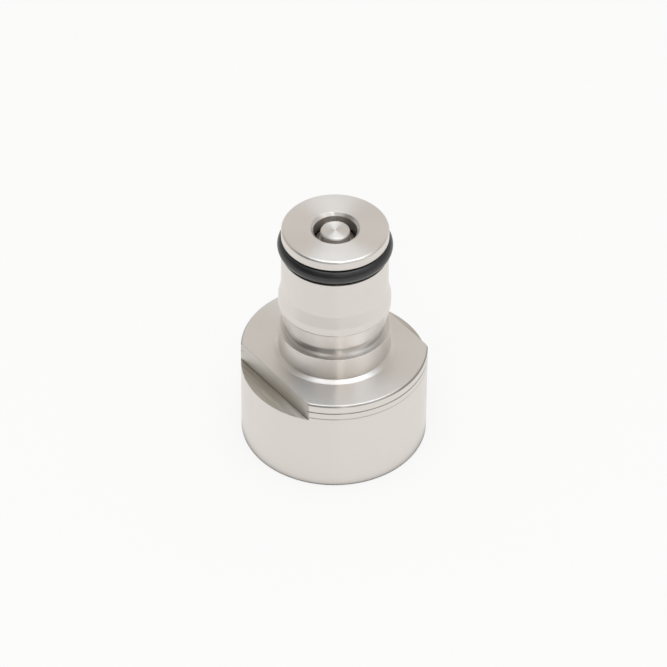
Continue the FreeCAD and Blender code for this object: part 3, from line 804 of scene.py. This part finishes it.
def fine_steel(name, light, dark, roughness, anisotropy, groove_scale, smooth_and_shaded_below=0.0):
    """Plain turned or pressed steel, with grooves round the axis.

    What lies below a height in millimetres is smoother, and outside the pin it is painted dark as shade.
    """
    finish = new_finish(name)
    x, y, z = finish.place()
    from_axis = (x * x + y * y) ** 0.5
    grooves = finish.noise(from_axis * groove_scale, z * groove_scale, x * 0.2, detail=3.0)
    clouds = finish.noise(x * 0.6, y * 0.6, z * 0.6)
    tone = finish.mix(clouds * 0.5 + grooves * 0.5, dark, light)
    # Painted shade: the collar round the pin, low in the throat, is coloured dark
    collar_shade = (z < smooth_and_shaded_below) * (from_axis > PIN_RADIUS + PIN_CLEARANCE)
    return finish.surface(
        Base_Color=finish.mix(collar_shade, tone, COLLAR_SHADE_STEEL),
        Metallic=1.0,
        Roughness=roughness + grooves * 0.12 + (z > smooth_and_shaded_below) * 0.2,
        Anisotropic=anisotropy,
        Anisotropic_Rotation=ACROSS_THE_GROOVES,
        Normal=finish.bump(grooves, microns=2.0),
    )


pin_steel = fine_steel("turned_pin", STEEL_LIGHT, STEEL_DARK, 0.22, 0.8, 7.0, PIN_SHADE_BELOW)
pressed_steel = fine_steel("pressed_steel", PRESSED_LIGHT, PRESSED_DARK, 0.3, 0.2, 4.0)
print("made", pin_steel.name, "and", pressed_steel.name)

# %% [markdown]
# ## Drawn spring wire
# Hard-drawn wire is darker and smoother than turned steel, with faint marks along it from the die.

# %% The spring's wire
def drawn_wire():
    finish = new_finish("drawn_wire")
    x, y, z = finish.place()
    marks = finish.noise(x * 1.5, y * 1.5, z * 12.0, detail=3.0)
    return finish.surface(
        Base_Color=finish.mix(marks, colour(0.4, 0.385, 0.37), colour(0.55, 0.53, 0.5)),
        Metallic=1.0,
        Roughness=0.22 + marks * 0.15,
        Normal=finish.bump(marks, microns=1.5),
    )


spring_finish = drawn_wire()
print("made", spring_finish.name)

# %% [markdown]
# ## Rubber
# Nitrile rubber is a deep neutral black with a soft sheen. Dust and the mould's fine grain break up its
# highlight, so a little noise goes into the colour, the roughness and the bump.

# %% Rubber of three kinds
def rubber(name, deep, dusty, roughness, grain_microns, sheen=0.5):
    finish = new_finish(name)
    x, y, z = finish.place()
    grain = finish.noise(x * 9.0, y * 9.0, z * 9.0, detail=3.0, roughness=0.6)
    dust = finish.noise(x * 0.8, y * 0.8, z * 1.4, detail=3.0)
    return finish.surface(
        Base_Color=finish.mix(dust * 0.6 + grain * 0.4, deep, dusty),
        Roughness=roughness + grain * 0.1 + dust * 0.08,
        Specular_IOR_Level=sheen,
        Normal=finish.bump(grain, microns=grain_microns),
    )


RING_BLACK = colour(0.005, 0.005, 0.0055)
RING_DUSTY = colour(0.009, 0.0085, 0.0095)
ring_rubber = rubber("ring_rubber", RING_BLACK, RING_DUSTY, 0.22, 2.0, 0.72)
cone_rubber = rubber("cone_rubber", colour(0.01, 0.01, 0.01), colour(0.024, 0.023, 0.022), 0.45, 3.0)
gasket_rubber = rubber("flat_rubber", colour(0.011, 0.011, 0.012), colour(0.028, 0.028, 0.028), 0.5, 5.0)
print("made", ring_rubber.name, cone_rubber.name, gasket_rubber.name)

# %% Give every piece its finish
finish_of = {
    post_body: stainless,
    ring_seal: ring_rubber,
    gasket: gasket_rubber,
    spring: spring_finish,
    stem: pin_steel,
    cone_seal: cone_rubber,
    washer: pressed_steel,
    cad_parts["spring_guide"]: pressed_steel,
    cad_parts["guide_snap_ring"]: spring_finish,
    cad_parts["stem_clip"]: spring_finish,
}
for piece, material in finish_of.items():
    piece.data.materials.clear()
    piece.data.materials.append(material)
print(len(finish_of), "pieces have a finish")

# %% [markdown]
# ## The studio
# The photograph was taken in a white light tent: a near-white floor, an almost shadowless light, and
# metal that mirrors white nearly everywhere. Metal shows what is around it, so the tent matters more than
# the lamps. It is the world's colour, and only a ray that comes off a glossy surface finds it. The camera
# finds plain white, every other ray finds a plain level of light, and the lamps aren't mirrored.
#
# The cloth is white and slightly warm. A bright roof hangs over the fitting, cool behind and warm in
# front. The front is dim, where the tent is open but for a narrow slit of light. To the left of it hangs
# a dark sleeve, to the right are a bright window and then a dark corner, and the far left is in shade.

# %% Directions in the tent
CAMERA_AZIMUTH = math.radians(53.0)
CAMERA_ELEVATION = math.radians(41.14)

rightward = Vector((math.cos(CAMERA_AZIMUTH), math.sin(CAMERA_AZIMUTH), 0))
frontward = Vector((math.sin(CAMERA_AZIMUTH), -math.cos(CAMERA_AZIMUTH), 0))
upward = Vector((0, 0, 1))
world = bpy.data.worlds.new("tent")
bpy.context.scene.world = world
tent = Finish(world)
direction = tent.node("TexCoord", output="Generated")


def towards(axis):
    """How far the ray points along an axis, from -1 to 1."""
    return tent.node("VectorMath", {"operation": "DOT_PRODUCT"}, {0: direction, 1: axis}, "Value")


side, front, up = towards(rightward), towards(frontward), towards(upward)
turned_by = side.maths("ARCTAN2", side, front)
print("the tent's front is at azimuth", round(math.degrees(CAMERA_AZIMUTH)), "degrees")

# %% Parts of the tent that are lighter or darker
SHEET_SOFT_TURN = math.radians(4)
SHEET_SOFT_HEIGHT = 0.08


def between(value, low, high, soft):
    """Is 1 from low to high and 0 outside, and changes over a soft distance on each side of both."""
    return tent.smooth(value, low - soft, low + soft) * (1 - tent.smooth(value, high - soft, high + soft))


def sheet(left, right, low, high, change):
    """A sheet between two azimuths in degrees and two heights, whose level changes by a share."""
    across = between(turned_by, math.radians(left), math.radians(right), SHEET_SOFT_TURN)
    return 1 + across * between(up, low, high, SHEET_SOFT_HEIGHT) * change


def patch(azimuth, elevation, spread, change):
    """A soft round patch, whose level changes by a share. Angles are in degrees."""
    turn, lift = math.radians(azimuth), math.radians(elevation)
    level_part = frontward * math.cos(turn) + rightward * math.sin(turn)
    centre = level_part * math.cos(lift) + upward * math.sin(lift)
    rim, core = math.cos(math.radians(spread)), math.cos(math.radians(0.4 * spread))
    return 1 + tent.smooth(towards(centre), rim, core) * change


sleeve = sheet(-101, -40, 0.3, 0.85, -0.66)
window = sheet(22, 78, 0.25, 0.86, 0.36) * sheet(52, 78, 0.25, 0.86, 0.22)
corner = sheet(80, 130, 0.3, 0.82, -0.3)
far_left = patch(-112, 32, 36, -0.32)
print("the tent has a sleeve, a window, a corner and a shade at the far left")

# %% The roof, the dim front and the slit
ROOF_LIGHT = 1.85
DIM_FRONT = 0.45
DIM_LOW_FRONT = 0.3
LESS_DIM_ON_THE_RIGHT = 0.4
SLIT_LIGHT = 3.7
SLIT_OFFSET = 0.15
SLIT_HALF = 0.03

roof = tent.smooth(up, 0.66, 0.84) * tent.smooth(front, -0.46, -0.26) * (1 - tent.smooth(front, 0.2, 0.36))
roof_ends = tent.smooth(side, -0.42, -0.24) * (1 - tent.smooth(side, 0.42, 0.56))
low_down = 1 - tent.smooth(up, 0.3, 0.65)
below_roof = 1 - tent.smooth(up, 0.85, 0.95)
right_of_slit = tent.smooth(side, SLIT_OFFSET - 0.03, SLIT_OFFSET + 0.08)
dim = tent.smooth(front, 0.05, 0.4) * (DIM_FRONT + low_down * DIM_LOW_FRONT) * below_roof
dim = dim * (1 - right_of_slit * LESS_DIM_ON_THE_RIGHT)
slit_middle = 1 - tent.smooth(abs(side - SLIT_OFFSET), 0.3 * SLIT_HALF, SLIT_HALF)
slit = tent.smooth(front, 0.2, 0.5) * tent.smooth(up, 0.2, 0.5) * slit_middle
print(f"seen from the middle, the slit is {2 * math.degrees(SLIT_HALF):.1f} degrees wide")

# %% The tent, as the world's colour
TENT_WHITE = 0.74
TENT_LIGHT = 0.75
WARM_TINT = (1.0, 0.98, 0.95)
COOL_TINT = (0.84, 1.0, 1.18)

cloth = TENT_WHITE * (1 - dim) * sleeve * window * corner * far_left
warm = tent.tinted(cloth + slit * SLIT_LIGHT, WARM_TINT)
roof_tint = tent.mix(tent.smooth(front, 0.05, 0.25), (*COOL_TINT, 1.0), (*WARM_TINT, 1.0))
mirrored_tent = tent.both(warm, tent.tinted(roof * roof_ends * ROOF_LIGHT, roof_tint))
seen, mirrored, through = tent.node(
    "LightPath",
    output=("Is Camera Ray", "Is Glossy Ray", "Is Transmission Ray"),
)
other = (1 - seen) * (1 - mirrored) * (1 - through)
plain = tent.tinted(seen + through + other * TENT_LIGHT, (1.0, 1.0, 1.0))
reflected = tent.tinted(mirrored, mirrored_tent)
background = tent.node("Background", inputs={"Color": tent.both(plain, reflected), "Strength": 1.0})
tent.end("OutputWorld", background)
print("the tent mirrors as", TENT_WHITE, "and its roof as up to", TENT_WHITE + ROOF_LIGHT)

# %% [markdown]
# ## The floor
# It is a plain sheet of near-white board. For the camera and for reflections most of its colour is given
# straight out, so that it stays pale, and the rest takes the lamps' light and keeps a faint soft shadow.
# Under the base no light reaches it, so reflections find it dark there, which draws the fitting's foot.

# %% The floor
FLOOR_SIZE = 2.0
FLOOR_GLOW = 0.86
FLOOR_WHITE = colour(0.955, 0.955, 0.95)
FLOOR_UNDER = 0.85
UNDER_BASE = BASE_RADIUS + 0.2
BESIDE_BASE = BASE_RADIUS + 0.75
PAPER_DARK = colour(0.86, 0.86, 0.86)
PAPER_LIGHT = colour(0.88, 0.88, 0.88)


def floor_finish():
    finish = new_finish("pale_board")
    x, y, z = finish.place()
    fibre = finish.noise(x * 0.5, y * 0.5, z, detail=3.0)
    paper_tone = finish.mix(fibre, PAPER_DARK, PAPER_LIGHT)
    paper = finish.node("BsdfDiffuse", inputs={"Color": paper_tone}, output="BSDF")
    seen, mirrored, through = finish.node(
        "LightPath",
        output=("Is Camera Ray", "Is Glossy Ray", "Is Transmission Ray"),
    )
    glow = finish.node("Emission", inputs={"Color": FLOOR_WHITE, "Strength": 1.0})
    glow_share = (seen + mirrored + through) * FLOOR_GLOW
    board = finish.node("MixShader", inputs={0: glow_share, 1: paper, 2: glow})
    from_axis = (x * x + y * y) ** 0.5
    under = 1 - finish.smooth(from_axis, UNDER_BASE, BESIDE_BASE)
    dark = finish.node("Emission", inputs={"Color": colour(0.0, 0.0, 0.0), "Strength": 0.0})
    dark_share = mirrored * under * FLOOR_UNDER
    shaded = finish.node("MixShader", inputs={0: dark_share, 1: board, 2: dark})
    return finish.end("OutputMaterial", shaded)


floor_mesh = bpy.data.meshes.new("floor")
reach = FLOOR_SIZE / 2
floor_mesh.from_pydata(
    [(-reach, -reach, 0), (reach, -reach, 0), (reach, reach, 0), (-reach, reach, 0)],
    [],
    [(0, 1, 2, 3)],
)
floor = bpy.data.objects.new("floor", floor_mesh)
bpy.context.scene.collection.objects.link(floor)
floor.data.materials.append(floor_finish())
print("the floor is", FLOOR_SIZE, "m wide")


# %% The lamps
def soft_lamp(name, azimuth, elevation, distance, size, power):
    """A square lamp that looks at the object from an azimuth and elevation given in degrees."""
    turn, lift = math.radians(azimuth), math.radians(elevation)
    toward = Vector((
        math.sin(turn) * math.cos(lift),
        -math.cos(turn) * math.cos(lift),
        math.sin(lift),
    ))
    light = bpy.data.lights.new(name, "AREA")
    light.shape = "SQUARE"
    light.size = size
    light.energy = power
    lamp = bpy.data.objects.new(name, light)
    lamp.location = toward * distance
    lamp.rotation_mode = "QUATERNION"
    lamp.rotation_quaternion = toward.to_track_quat("Z", "Y")
    lamp.visible_camera = False
    lamp.visible_glossy = False
    bpy.context.scene.collection.objects.link(lamp)
    return lamp


soft_lamp("lamp_over", 53, 80, 0.6, 0.45, 1.6)
soft_lamp("lamp_front", 45, 38, 0.7, 0.3, 0.8)
print("two soft lamps")

# %% [markdown]
# ## The camera
# It looks down on the post from the photograph's side, with a long lens from a little under 70 cm away.

# %% The camera
CAMERA_DISTANCE = 0.680
AIM_HEIGHT = 0.018166
AIM_SHIFT = -0.000141
LENS = 245.8
ROLL = math.radians(0.43)

camera_data = bpy.data.cameras.new("camera")
camera_data.lens = LENS
camera_data.sensor_width = 36.0
camera_data.clip_start = 0.01
camera_data.clip_end = 10.0
camera = bpy.data.objects.new("camera", camera_data)
backward = Vector((
    math.sin(CAMERA_AZIMUTH) * math.cos(CAMERA_ELEVATION),
    -math.cos(CAMERA_AZIMUTH) * math.cos(CAMERA_ELEVATION),
    math.sin(CAMERA_ELEVATION),
))
aim = rightward * AIM_SHIFT + Vector((0, 0, AIM_HEIGHT))
camera.location = aim + backward * CAMERA_DISTANCE
camera.rotation_mode = "QUATERNION"
camera.rotation_quaternion = (-backward).to_track_quat("-Z", "Y") @ Quaternion((0, 0, 1), ROLL)
bpy.context.scene.collection.objects.link(camera)
bpy.context.scene.camera = camera
bpy.context.scene.view_settings.view_transform = "Standard"
print("the camera stands", round(camera.location.z, 3), "m above the floor")
